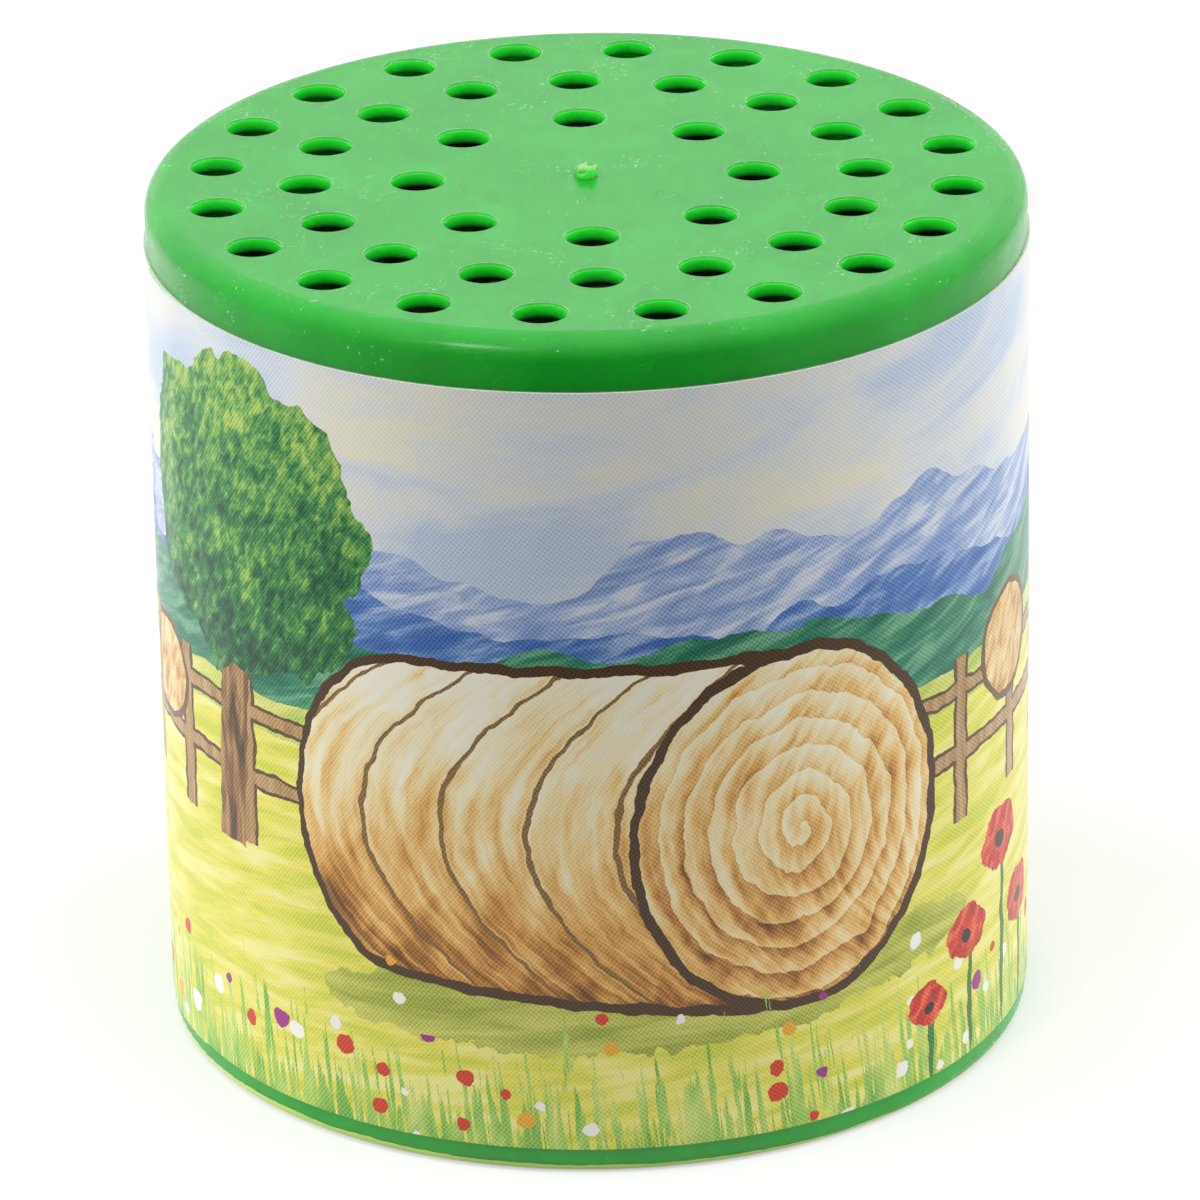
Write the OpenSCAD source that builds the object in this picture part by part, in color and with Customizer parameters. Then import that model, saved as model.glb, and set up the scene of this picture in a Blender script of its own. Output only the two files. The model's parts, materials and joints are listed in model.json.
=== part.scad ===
// Animal sound box: a small printed can with a perforated lid and a tilt-driven voice inside.
// Millimetres, +Z up. The origin is the centre of the base, on the face that it stands on.
// Upright and at rest, the weight is down and the bellows is folded.

/* [Can] */
// Diameter over the printed label
can_d = 65; // [61:0.5:72]
// Height from the standing face to the flat of the lid
can_h = 65.3; // [58:0.1:75]
// Thickness of the label paper
label_t = 0.15; // [0.1:0.05:0.3]
// Width of the strip where the label overlaps itself
label_lap = 6; // [3:0.5:12]
// Direction of the overlapping edge of the label, seen from above
label_seam = 190; // [0:1:359]
// Wall of the board tube
tube_wall = 1.2; // [0.8:0.1:1.6]
// How far the lid and the base stand in from the face of the tube
cap_inset = 0; // [0:0.05:0.3]
// Radial clearance between the tube and the skirts plugged into it
plug_gap = 0.05; // [0.02:0.01:0.1]

/* [Lid] */
// Height of the lid above the label
lid_rim_h = 4; // [3:0.1:5]
// Thickness of the perforated plate
lid_plate_t = 1.1; // [0.8:0.1:1.6]
// Rounding of the upper edge
lid_edge_r = 1.7; // [0.6:0.1:2]
// Wall of the skirt inside the tube
lid_skirt_wall = 1.2; // [0.9:0.1:1.6]
// Depth of the skirt inside the tube
lid_skirt_h = 6; // [3:0.5:6.5]
// Diameter of a sound hole
hole_d = 3.8; // [3:0.1:4.2]
// Edge break round a sound hole
hole_edge = 0.15; // [0.05:0.05:0.3]
// Room between the outer holes and the skirt
hole_margin = 0.7; // [0.4:0.1:1.2]
// Step from the outer ring of holes to the middle ring
outer_step = 6.8; // [5.6:0.1:7.4]
// Step from the middle ring of holes to the inner ring
inner_step = 8.2; // [7:0.1:9]
// Number of holes in the outer ring
outer_holes = 20; // [12:1:22]
// Number of holes in the middle ring
middle_holes = 16; // [8:1:18]
// Number of holes in the inner ring
inner_holes = 8; // [4:1:10]
// Diameter of the moulding gate stub in the middle of the lid
gate_d = 1.5; // [0.8:0.1:2.5]
// Height of the gate stub at its torn tip
gate_h = 1; // [0.5:0.1:1.2]
// Height of the gate stub beside its tip
gate_shoulder_h = 0.6; // [0.2:0.1:0.8]
// Diameter of the torn tip
gate_tip_d = 0.6; // [0.4:0.1:0.8]

/* [Base] */
// Height of the base below the label
base_rim_h = 2; // [1.6:0.1:3]
// Rounding of the lower edge
base_edge_r = 0.9; // [0.4:0.1:1.2]
// Thickness of the base plate over the recess
base_plate_t = 1.4; // [1:0.1:1.5]
// Width of the ring that the can stands on, edge rounding included
foot_w = 5; // [3:0.5:8]
// Wall of the skirt inside the tube
base_skirt_wall = 1.2; // [0.9:0.1:1.6]
// Height of the skirt inside the tube
base_skirt_h = 6; // [3:0.5:8]
// Outside diameter of the two necks that hold the bellows
neck_d = 45; // [43:0.5:46]
// Wall of the neck on the base
neck_wall = 1.5; // [1:0.1:2]
// Height of both necks
neck_h = 4.5; // [4.2:0.1:6]

/* [Bellows] */
// Number of pleats
pleats = 6; // [4:1:8]
// Height of one folded pleat
pleat_h = 1.2; // [0.8:0.1:1.6]
// Room between the pleats and the base's skirt
bellows_room = 1.8; // [1:0.1:3]
// Width of the film round a fold, and wall of the hemmed cuffs
film_w = 0.9; // [0.5:0.1:1.2]
// Height of a cuff
cuff_h = 4; // [3.2:0.1:4.1]
// Radial clearance of a cuff on its neck
cuff_gap = 0.1; // [0.05:0.01:0.2]
// Thickness of the rubber band round a cuff
band_t = 1; // [0.6:0.1:1.4]
// Height of the rubber band round a cuff
band_h = 2.6; // [1.6:0.1:3]

/* [Weight] */
// Thickness of the carrier plate
carrier_t = 2; // [1.6:0.1:3]
// Rim of the carrier outside the weight
carrier_rim = 0.5; // [0.2:0.1:0.8]
// Height of the weight
weight_h = 8; // [6:0.5:12]
// Room between the weight and the lid's skirt
weight_room = 1.8; // [1.2:0.1:4]
// Clearance of the weight on the carrier's collar
weight_gap = 0.1; // [0.05:0.05:0.2]
// Wall of the collar round the voice
collar_wall = 1.5; // [1:0.1:2]
// Number of guide lugs
guides = 6; // [3:1:8]
// Width of a guide lug
guide_w = 7; // [4:0.5:10]
// How far a guide lug stands above the carrier plate
guide_h = 1; // [0.5:0.1:1.5]
// Running clearance between a guide lug and the tube
guide_gap = 0.4; // [0.3:0.05:0.8]
// Wall of the stop sleeve that hangs inside the bellows
sleeve_wall = 1.4; // [1:0.1:2]
// Clearance between the stop sleeve and the base's neck
sleeve_gap = 0.4; // [0.3:0.05:0.8]
// Thickness of the felt rings under the lid and on the base
felt_t = 2; // [1:0.1:3]
// Margin of the upper felt ring beside the holes, and of the lower one beside the stop sleeve
felt_margin = 0.4; // [0.2:0.1:0.8]
// Gap left between the stop sleeve and the felt at rest
stop_gap = 0.3; // [0.1:0.05:0.5]

/* [Voice] */
// Diameter of the round reed plate
reed_plate_d = 24.9; // [23:0.1:27]
// Thickness of the reed plate
reed_plate_t = 0.8; // [0.6:0.1:1.2]
// Width of the ledge that carries the reed plate
ledge_w = 2; // [1.4:0.1:2.2]
// Thickness of the gasket under the reed plate
gasket_t = 0.4; // [0.2:0.1:0.8]
// Clearance round the reed plate and the resonator
voice_gap = 0.1; // [0.05:0.05:0.2]
// Distance of the reed from the middle of the plate
reed_offset = 3; // [2.8:0.1:3.4]
// Room between the corner of the tongue's clamp and the bore under the plate
clamp_room = 0.7; // [0.4:0.1:1.2]
// Width of the tongue
reed_w = 3; // [2:0.1:3.2]
// Thickness of the tongue
reed_t = 0.2; // [0.1:0.05:0.3]
// Length of the tongue held in its clamp
reed_root = 1.5; // [1:0.1:2]
// Gap between the tongue and the plate
reed_gap = 0.1; // [0.1:0.02:0.2]
// Clearance of the tongue in its slot and in its clamp
slot_gap = 0.2; // [0.15:0.05:0.3]
// Shoulder of the clamp beside the tongue
clamp_side = 1; // [1:0.05:1.2]
// Height of the clamp
clamp_h = 1.1; // [0.9:0.1:1.5]
// Diameter of a clamp rivet's shank
rivet_d = 0.7; // [0.5:0.05:0.7]
// Height of a clamp rivet's head
rivet_head_h = 0.3; // [0.2:0.05:0.5]
// How far a clamp rivet's head stands out round its shank
rivet_lip = 0.12; // [0.08:0.01:0.14]
// Clearance of a rivet or pin in its hole
rivet_gap = 0.05; // [0.03:0.01:0.08]
// Room between the valve disc and the bore under the plate
valve_room = 1.25; // [0.8:0.05:1.5]
// Diameter of the valve disc
valve_d = 8.4; // [7.6:0.1:8.6]
// Thickness of the valve disc
valve_t = 0.5; // [0.3:0.1:0.8]
// Gap between the closed valve disc and the reed plate
valve_gap = 0.1; // [0.05:0.05:0.2]
// Lift of the valve disc
valve_lift = 1.2; // [0.6:0.1:1.4]
// Diameter of the pin that guides the valve disc
valve_pin_d = 1.6; // [1.2:0.1:1.8]
// Clearance between the valve disc and its pin
valve_pin_gap = 0.3; // [0.3:0.05:0.4]
// Height of the pin's heads
valve_head_h = 0.5; // [0.3:0.1:0.8]
// How far the pin's lower head stands out round the shank
valve_lip = 1.2; // [0.9:0.1:1.4]
// How far the pin's upper head stands out round the shank
valve_top_lip = 0.6; // [0.4:0.1:0.8]
// Diameter of an air port
port_d = 1.6; // [1:0.1:1.6]
// Number of air ports
ports = 4; // [3:1:5]
// Distance of the air ports from the pin
port_ring = 2.7; // [2.5:0.1:2.8]
// Wall of the resonator
resonator_wall = 1.1; // [0.8:0.1:1.5]
// Thickness of the resonator's flange
flange_t = 1; // [0.8:0.1:1.6]
// How far the flange grips over the weight
flange_grip = 1.4; // [0.8:0.1:2]
// Diameter of the resonator's mouth
mouth_d = 10; // [6:0.5:14]
// Edge break round the resonator's mouth
mouth_edge = 0.5; // [0.2:0.1:0.7]

/* [Hidden] */
$fn = 96;
// Overshoot of a cutting tool past the faces that it opens
cut = 1;

// Radii of the can, from the outside in
label_r = can_d / 2;
tube_r = label_r - label_t;
cap_r = tube_r - cap_inset;
bore_r = tube_r - tube_wall;
plug_r = bore_r - plug_gap;
lid_bore_r = plug_r - lid_skirt_wall;
base_bore_r = plug_r - base_skirt_wall;

// Heights of the can
label_top = can_h - lid_rim_h;
label_h = label_top - base_rim_h;
lid_under = can_h - lid_plate_t;

// Rings of sound holes
outer_ring_r = lid_bore_r - hole_margin - hole_d / 2;
middle_ring_r = outer_ring_r - outer_step;
inner_ring_r = middle_ring_r - inner_step;

// Necks, bellows and the sleeve inside them
neck_r = neck_d / 2;
neck_bore_r = neck_r - neck_wall;
cuff_r = neck_r + cuff_gap;
band_r = cuff_r + film_w + cuff_gap;
fold_r = base_bore_r - bellows_room;
sleeve_r = neck_bore_r - sleeve_gap;
sleeve_bore_r = sleeve_r - sleeve_wall;
pleat_bottom = base_rim_h + neck_h;
pleat_top = pleat_bottom + pleats * pleat_h;

// Carrier, weight and voice, stacked upwards
plate_r = reed_plate_d / 2;
voice_bore_r = plate_r - ledge_w;
collar_bore_r = plate_r + voice_gap;
collar_r = collar_bore_r + collar_wall;
weight_bore_r = collar_r + weight_gap;
weight_r = lid_bore_r - weight_room;
carrier_r = weight_r + carrier_rim;
guide_r = bore_r - guide_gap;
carrier_bottom = pleat_top + neck_h;
carrier_top = carrier_bottom + carrier_t;
weight_top = carrier_top + weight_h;
reed_plate_bottom = carrier_top + gasket_t;
reed_plate_top = reed_plate_bottom + reed_plate_t;
resonator_r = collar_bore_r - voice_gap;
flange_r = weight_bore_r + flange_grip;

// Tongue and clamp, along X beside the middle of the plate
clamp_half = reed_w / 2 + slot_gap + clamp_side;
clamp_tail = -sqrt(pow(voice_bore_r - clamp_room, 2) - pow(reed_offset + clamp_half, 2));
reed_tail = clamp_tail + 2 * slot_gap;
reed_tip = -reed_tail;
reed_len = reed_tip - reed_tail;
reed_pivot = reed_tail + reed_root;
tongue_top = reed_plate_bottom - reed_gap;
rivet_y = reed_w / 2 + slot_gap + clamp_side / 2;
rivet_x = (clamp_tail + reed_pivot) / 2;
groove_h = reed_gap + reed_t + slot_gap;

// Valve disc and its pin
valve_y = voice_bore_r - valve_room - valve_d / 2;
valve_top = reed_plate_bottom - valve_gap;
valve_pin_r = valve_pin_d / 2;
valve_stop = valve_top - valve_t - valve_lift - valve_gap;

// A ring of rectangular section, standing on height z
module hoop(outer_r, inner_r, z, h) {
    translate([0, 0, z])
        difference() {
            cylinder(r = outer_r, h = h);
            translate([0, 0, -cut])
                cylinder(r = inner_r, h = h + 2 * cut);
        }
}

// Copies its children evenly round the axis at radius r
module around(count, r, first = 0) {
    for (i = [0 : count - 1])
        rotate([0, 0, first + i * 360 / count])
            translate([r, 0, 0])
                children();
}

// Half section of a disc whose upper outer edge is rounded
module round_edged_section(r, h, edge_r) {
    square([r - edge_r, h]);
    square([r, h - edge_r]);
    translate([r - edge_r, h - edge_r])
        circle(r = edge_r);
}

// One sound hole with its broken edge, as a cutter
module sound_hole() {
    translate([0, 0, lid_under - cut])
        cylinder(d = hole_d, h = lid_plate_t + 2 * cut);
    translate([0, 0, can_h - hole_edge])
        cylinder(r1 = hole_d / 2, r2 = hole_d / 2 + hole_edge + cut, h = hole_edge + cut);
}

// Perforated lid with a skirt that plugs into the tube
module top_cap() {
    color("limegreen") {
        difference() {
            union() {
                translate([0, 0, label_top])
                    rotate_extrude()
                        round_edged_section(cap_r, lid_rim_h, lid_edge_r);
                translate([0, 0, label_top - lid_skirt_h])
                    cylinder(r = plug_r, h = lid_skirt_h + cut);
            }
            translate([0, 0, label_top - lid_skirt_h - cut])
                cylinder(r = lid_bore_r, h = lid_under - label_top + lid_skirt_h + cut);
            around(outer_holes, outer_ring_r, 180 / outer_holes)
                sound_hole();
            around(middle_holes, middle_ring_r)
                sound_hole();
            around(inner_holes, inner_ring_r)
                sound_hole();
        }
        translate([0, 0, lid_under]) {
            cylinder(d = gate_d, h = lid_plate_t + gate_shoulder_h);
            translate([gate_d / 4, 0, 0])
                cylinder(d = gate_tip_d, h = lid_plate_t + gate_h);
        }
    }
}

// Board tube between the lid and the base
module can_tube() {
    color("tan")
        hoop(tube_r, bore_r, base_rim_h, label_h);
}

// Printed paper glued round the tube, with its overlapping edge
module label() {
    lap_angle = label_lap / label_r * 180 / PI;
    color("lightyellow") {
        hoop(label_r, tube_r, base_rim_h, label_h);
        rotate([0, 0, label_seam])
            rotate_extrude(angle = lap_angle)
                translate([label_r - label_t / 2, base_rim_h])
                    square([label_t * 1.5, label_h]);
    }
}

// Base with a standing ring, a skirt that plugs into the tube and a neck for the bellows
module bottom_cap() {
    color("forestgreen")
        difference() {
            union() {
                translate([0, 0, base_rim_h])
                    mirror([0, 0, 1])
                        rotate_extrude()
                            round_edged_section(cap_r, base_rim_h, base_edge_r);
                hoop(plug_r, base_bore_r, base_rim_h, base_skirt_h);
                hoop(neck_r, neck_bore_r, base_rim_h, neck_h);
            }
            translate([0, 0, -cut])
                cylinder(r = cap_r - foot_w, h = base_rim_h - base_plate_t + cut);
        }
}

// Felt ring under the lid, between two rings of holes, which stops the weight when the box is inverted
module top_felt() {
    color("dimgray")
        hoop(
            middle_ring_r - hole_d / 2 - felt_margin,
            inner_ring_r + hole_d / 2 + felt_margin,
            lid_under - felt_t,
            felt_t
        );
}

// Felt ring on the base, under the stop sleeve
module base_felt() {
    color("dimgray")
        hoop(neck_bore_r - felt_margin / 2, sleeve_bore_r - felt_margin, base_rim_h, felt_t);
}

// Pleated film bellows with a hemmed cuff at each end, folded flat
module bellows() {
    inner_wall = concat(
        [[cuff_r, pleat_bottom - cuff_h]],
        [for (i = [0 : 2 * pleats])
            [i % 2 == 0 ? cuff_r : fold_r - film_w, pleat_bottom + i * pleat_h / 2]],
        [[cuff_r, pleat_top + cuff_h]]
    );
    last = len(inner_wall) - 1;
    outer_wall = [for (i = [last : -1 : 0]) inner_wall[i] + [film_w, 0]];
    color("saddlebrown")
        rotate_extrude()
            polygon(concat(inner_wall, outer_wall));
}

// Rubber band that holds a cuff on its neck, centred on height z
module cuff_band(z) {
    color("black")
        hoop(band_r + band_t, band_r, z - band_h / 2, band_h);
}

module lower_band() {
    cuff_band(pleat_bottom - cuff_h / 2);
}

module upper_band() {
    cuff_band(pleat_top + cuff_h / 2);
}

// Moulded carrier: plate, guide lugs, collar round the voice, upper neck and stop sleeve
module carrier() {
    sleeve_bottom = base_rim_h + felt_t + stop_gap;
    color("ivory") {
        hoop(carrier_r, voice_bore_r, carrier_bottom, carrier_t);
        hoop(collar_r, collar_bore_r, carrier_top, weight_h - weight_gap);
        hoop(neck_r, sleeve_bore_r, pleat_top, neck_h);
        hoop(sleeve_r, sleeve_bore_r, sleeve_bottom, pleat_top - sleeve_bottom);
        intersection() {
            hoop(guide_r, weight_r + weight_gap, carrier_bottom, carrier_t + guide_h);
            around(guides, carrier_r)
                translate([0, 0, carrier_bottom + (carrier_t + guide_h) / 2])
                    cube([2 * guide_w, guide_w, carrier_t + guide_h], center = true);
        }
    }
}

// Cast ring that drives the bellows
module weight() {
    color("slategray")
        hoop(weight_r, weight_bore_r, carrier_top, weight_h);
}

// Cup over the reed that clamps its plate, grips the weight and gives the voice its colour
module resonator() {
    cup_h = weight_top - reed_plate_top;
    color("ivory")
        difference() {
            union() {
                translate([0, 0, reed_plate_top])
                    cylinder(r = resonator_r, h = cup_h + flange_t);
                translate([0, 0, weight_top])
                    cylinder(r = flange_r, h = flange_t);
            }
            translate([0, 0, reed_plate_top - cut])
                cylinder(r = resonator_r - resonator_wall, h = cup_h + cut);
            translate([0, 0, weight_top - cut])
                cylinder(d = mouth_d, h = flange_t + 2 * cut);
            translate([0, 0, weight_top + flange_t - mouth_edge])
                cylinder(d1 = mouth_d, d2 = mouth_d + 2 * (mouth_edge + cut), h = mouth_edge + cut);
        }
}

// Sealing ring under the reed plate
module reed_gasket() {
    color("sienna")
        hoop(plate_r, voice_bore_r + voice_gap, carrier_top, gasket_t);
}

// Places its children at both clamp rivets
module at_rivets() {
    for (side = [-1, 1])
        translate([rivet_x, side * rivet_y - reed_offset, 0])
            children();
}

// Round brass plate with the tongue's slot, the air ports and the rivet holes
module reed_plate() {
    slot_start = reed_pivot + 2 * slot_gap;
    slot_w = reed_w + 2 * slot_gap;
    through = reed_plate_t + 2 * cut;
    color("gold")
        translate([0, 0, reed_plate_bottom])
            difference() {
                cylinder(r = plate_r, h = reed_plate_t);
                translate([slot_start, -reed_offset - slot_w / 2, -cut])
                    cube([reed_tip + slot_gap - slot_start, slot_w, through]);
                translate([0, valve_y, -cut]) {
                    cylinder(r = valve_pin_r + rivet_gap, h = through);
                    around(ports, port_ring, 180 / ports)
                        cylinder(d = port_d, h = through);
                }
                at_rivets()
                    translate([0, 0, -cut])
                        cylinder(d = rivet_d + 2 * rivet_gap, h = through);
            }
}

// Grooved bar that holds the root of the tongue against the plate
module reed_clamp() {
    clamp_len = reed_pivot - clamp_tail;
    groove_w = reed_w + 2 * slot_gap;
    color("goldenrod")
        translate([0, 0, reed_plate_bottom - clamp_h])
            difference() {
                translate([clamp_tail, -reed_offset - clamp_half, 0])
                    cube([clamp_len, 2 * clamp_half, clamp_h]);
                translate([reed_tail - slot_gap, -reed_offset - groove_w / 2, clamp_h - groove_h])
                    cube([clamp_len + cut, groove_w, groove_h + cut]);
                at_rivets()
                    translate([0, 0, -cut])
                        cylinder(d = rivet_d + 2 * rivet_gap, h = clamp_h + 2 * cut);
            }
}

// Two rivets through the plate and the clamp
module reed_rivets() {
    head_d = rivet_d + 2 * rivet_lip;
    color("silver")
        at_rivets() {
            translate([0, 0, reed_plate_bottom - clamp_h - rivet_head_h])
                cylinder(d = head_d, h = rivet_head_h);
            translate([0, 0, reed_plate_bottom - clamp_h])
                cylinder(d = rivet_d, h = clamp_h + reed_plate_t);
            translate([0, 0, reed_plate_top])
                cylinder(d = head_d, h = rivet_head_h);
        }
}

// Springy tongue that swings in the plate's slot
module reed_tongue() {
    color("peru")
        translate([reed_tail, -reed_offset - reed_w / 2, tongue_top - reed_t])
            cube([reed_len, reed_w, reed_t]);
}

// Headed pin on which the valve disc drops away from the ports
module valve_pin() {
    color("silver")
        translate([0, valve_y, 0]) {
            translate([0, 0, valve_stop - valve_head_h])
                cylinder(r = valve_pin_r + valve_lip, h = valve_head_h);
            translate([0, 0, valve_stop])
                cylinder(r = valve_pin_r, h = reed_plate_top - valve_stop);
            translate([0, 0, reed_plate_top])
                cylinder(r = valve_pin_r + valve_top_lip, h = valve_head_h);
        }
}

// Light disc that lets air into the bellows and shuts when it is pressed
module valve_disc() {
    color("dimgray")
        translate([0, valve_y, 0])
            hoop(valve_d / 2, valve_pin_r + valve_pin_gap, valve_top - valve_t, valve_t);
}

top_cap();
can_tube();
label();
bottom_cap();
top_felt();
base_felt();
bellows();
lower_band();
upper_band();
carrier();
weight();
resonator();
reed_gasket();
reed_plate();
reed_clamp();
reed_rivets();
reed_tongue();
valve_pin();
valve_disc();
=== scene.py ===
"""Looks of the animal sound box.

Finishes for the CAD pieces, and the paper, film and felt that replace plain solids."""

import json
import math
from types import SimpleNamespace

import bmesh
import bpy
from mathutils import Matrix, Vector, noise


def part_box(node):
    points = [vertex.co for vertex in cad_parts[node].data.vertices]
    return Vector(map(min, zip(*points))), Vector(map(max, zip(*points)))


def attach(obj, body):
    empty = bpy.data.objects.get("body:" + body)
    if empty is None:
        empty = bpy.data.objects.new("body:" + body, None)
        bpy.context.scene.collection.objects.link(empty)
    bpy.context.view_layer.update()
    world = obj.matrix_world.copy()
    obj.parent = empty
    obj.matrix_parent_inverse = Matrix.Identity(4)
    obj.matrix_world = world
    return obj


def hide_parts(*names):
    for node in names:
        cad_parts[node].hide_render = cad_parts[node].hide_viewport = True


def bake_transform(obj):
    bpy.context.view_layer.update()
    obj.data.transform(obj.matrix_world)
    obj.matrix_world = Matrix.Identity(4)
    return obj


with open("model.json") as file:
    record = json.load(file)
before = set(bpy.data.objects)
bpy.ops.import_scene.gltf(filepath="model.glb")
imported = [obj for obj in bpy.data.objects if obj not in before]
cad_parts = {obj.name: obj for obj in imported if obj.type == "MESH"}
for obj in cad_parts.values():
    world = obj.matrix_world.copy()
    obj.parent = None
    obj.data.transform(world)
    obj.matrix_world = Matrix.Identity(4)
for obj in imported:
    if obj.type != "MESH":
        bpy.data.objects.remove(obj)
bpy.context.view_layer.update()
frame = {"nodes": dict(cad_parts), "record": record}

MM = 0.001

# Sizes in millimetres, the same as in the part's source where it has them
PAPER_T = 0.15
LAP_W = 6.0
SEAM = 190
TUBE_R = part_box("can_tube")[1].x / MM
LABEL_R = TUBE_R + PAPER_T
LABEL_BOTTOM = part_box("label")[0].z / MM
LABEL_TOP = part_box("label")[1].z / MM
LABEL_ROUND = 2 * math.pi * LABEL_R
GATE_R = 0.75
GATE_H = 1.0
LID_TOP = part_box("top_cap")[1].z / MM - GATE_H
LID_PLATE_T = 1.1
HOLE_EDGE = 0.15
BASE_EDGE_R = 0.9
FELT_HOLE_R = {"top_felt": 14.6, "base_felt": 18.8}
CUFF_R = 22.6
CUFF_H = 4.0
FILM_W = 0.9
PLEATS = 6

# Height in millimetres of the point that the lights and the camera face
CAN_MIDDLE = 32


def ink(code):
    """An sRGB hex colour as linear RGBA."""
    channels = [int(code[i:i + 2], 16) / 255 for i in (1, 3, 5)]
    return tuple(c / 12.92 if c <= 0.04045 else ((c + 0.055) / 1.055) ** 2.4 for c in channels) + (1.0,)


def per_m(size_mm):
    """How many features of this size there are to a metre, for patterns laid out in metres."""
    return 1000 / size_mm


def add(tree, kind, links=None, out=0, stops=None, **settings):
    """Adds a shader node with its settings, socket links or values, and colour stops.

    Returns the output that out names or counts, or all of them where out is None."""
    node = tree.nodes.new("ShaderNode" + kind)
    for name, value in settings.items():
        setattr(node, name, value)
    usable = [s for s in node.inputs if s.enabled]
    for key, value in (links or {}).items():
        socket = usable[key] if isinstance(key, int) else next(s for s in usable if s.name == key)
        if isinstance(value, bpy.types.NodeSocket):
            tree.links.new(value, socket)
        else:
            socket.default_value = value
    for index, (place, code) in enumerate(stops or []):
        ends = node.color_ramp.elements
        stop = ends[index] if index < 2 else ends.new(place)
        stop.position = place
        stop.color = ink(code)
    given = [s for s in node.outputs if s.enabled]
    if out is None or not given:
        return given
    return given[out] if isinstance(out, int) else next(s for s in given if s.name == out)


def blank(name):
    """A new material and its empty tree."""
    made = bpy.data.materials.new(name)
    made.use_nodes = True
    made.node_tree.nodes.clear()
    return made, made.node_tree


def surface(tree, look, **settings):
    """Ends a material with its shader, whose sockets take the look."""
    add(tree, "OutputMaterial", {"Surface": add(tree, "BsdfPrincipled", look, **settings)})


# Materials of the moulded outside


def moulded_polypropylene(name, body, deep, edge_highlight_colour, lint, cloudy=1.0):
    """Injection-moulded polypropylene: satin and cloudy, with a painted highlight along sharp edges and a
    painted glow and painted shade on the hole walls.

    Handling has left clusters of pale lint, and rubbed patches that are a little duller."""
    made, tree = blank(name)
    where = add(tree, "TexCoord", out="Object")
    flow = add(tree, "TexNoise", {"Vector": where, "Scale": per_m(7), "Detail": 4.0, "Distortion": 0.6})
    colour = add(tree, "ValToRGB", {"Fac": flow}, stops=[(0.3, deep), (0.7, body)])
    # Lint lies in clusters some 6 mm across, as hairs about 0.13 mm thick and 0.9 mm long
    cluster = add(tree, "TexNoise", {"Vector": where, "Scale": per_m(6), "Detail": 2.0})
    limit = add(tree, "MapRange", {
        "Value": cluster, "From Min": 0.42, "From Max": 0.75, "To Min": 0.85, "To Max": 0.85 - lint,
    })
    pale = None
    for turn in (20, 75, 130):
        laid = add(tree, "Mapping", {
            "Vector": where, "Rotation": (0.3, 0.2, math.radians(turn)),
            "Scale": (0.9 * MM, 0.13 * MM, 0.3 * MM),
        }, vector_type="TEXTURE")
        hair = add(tree, "TexNoise", {"Vector": laid, "Scale": 1.0, "Detail": 1.0, "Distortion": 0.5})
        shown = add(tree, "Math", {0: hair, 1: limit}, operation="GREATER_THAN")
        pale = shown if pale is None else add(tree, "Math", {0: pale, 1: shown}, operation="MAXIMUM")
    faint = add(tree, "Math", {0: pale, 1: 0.55}, operation="MULTIPLY")
    linted = add(tree, "Mix", {"Factor": faint, "A": colour, "B": ink("#E4F2DC")}, data_type="RGBA")
    # A painted highlight some 0.1 mm wide lies along sharp edges, where they would catch the light
    rounded = add(tree, "Bevel", {"Radius": 0.1 * MM}, samples=6)
    flat = add(tree, "NewGeometry", out="Normal")
    bend = add(tree, "VectorMath", {0: rounded, 1: flat}, out="Value", operation="DOT_PRODUCT")
    edge_highlight = add(tree, "MapRange", {"Value": bend, "From Min": 0.99, "From Max": 0.86, "To Max": 0.95})
    edged = add(tree, "Mix", {"Factor": edge_highlight, "A": linted, "B": ink(edge_highlight_colour)}, data_type="RGBA")
    # Painted light and shade on steep faces high on the lid, such as the hole walls: a painted glow near the
    # top, where light that went in at the top would come out, darkening to painted shade at their foot
    foot = LID_TOP - LID_PLATE_T
    height = add(tree, "SeparateXYZ", {"Vector": where}, out="Z")
    slope = add(tree, "SeparateXYZ", {"Vector": flat}, out="Z")
    steep = add(tree, "Math", {0: slope, 1: 0.0, 2: 0.3}, operation="COMPARE")
    near_top = add(tree, "Math", {0: height, 1: (foot - 0.02) * MM}, operation="GREATER_THAN")
    painted_glow_walls = add(tree, "Math", {0: steep, 1: near_top}, operation="MULTIPLY")
    rise = add(tree, "MapRange", {
        "Value": height, "From Min": foot * MM, "From Max": (LID_TOP - HOLE_EDGE) * MM,
    })
    painted_wall_light = add(tree, "ValToRGB", {"Fac": rise}, stops=[
        (0.0, "#03200A"), (1.0, "#3CEA46"), (0.1, "#0C7A1A"), (0.34, "#1EBA31"),
    ])
    lit = add(tree, "Mix", {"Factor": painted_glow_walls, "A": edged, "B": painted_wall_light}, data_type="RGBA")
    rubbed = add(tree, "TexNoise", {"Vector": where, "Scale": per_m(3), "Detail": 6.0, "Roughness": 0.7})
    rough = add(tree, "MapRange", {
        "Value": rubbed, "From Min": 0.35, "From Max": 0.7, "To Min": 0.18, "To Max": 0.28,
    })
    grain = add(tree, "TexNoise", {"Vector": where, "Scale": per_m(0.25), "Detail": 2.0})
    relief = add(tree, "Bump", {"Strength": 0.15, "Distance": 0.01 * MM, "Height": grain})
    surface(tree, {
        "Base Color": lit, "Roughness": rough, "IOR": 1.55, "Normal": relief,
        "Subsurface Weight": cloudy, "Subsurface Radius": (0.1, 1.0, 0.13), "Subsurface Scale": 2.5 * MM,
    }, subsurface_method="BURLEY")
    return made


# The printed paper


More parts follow.
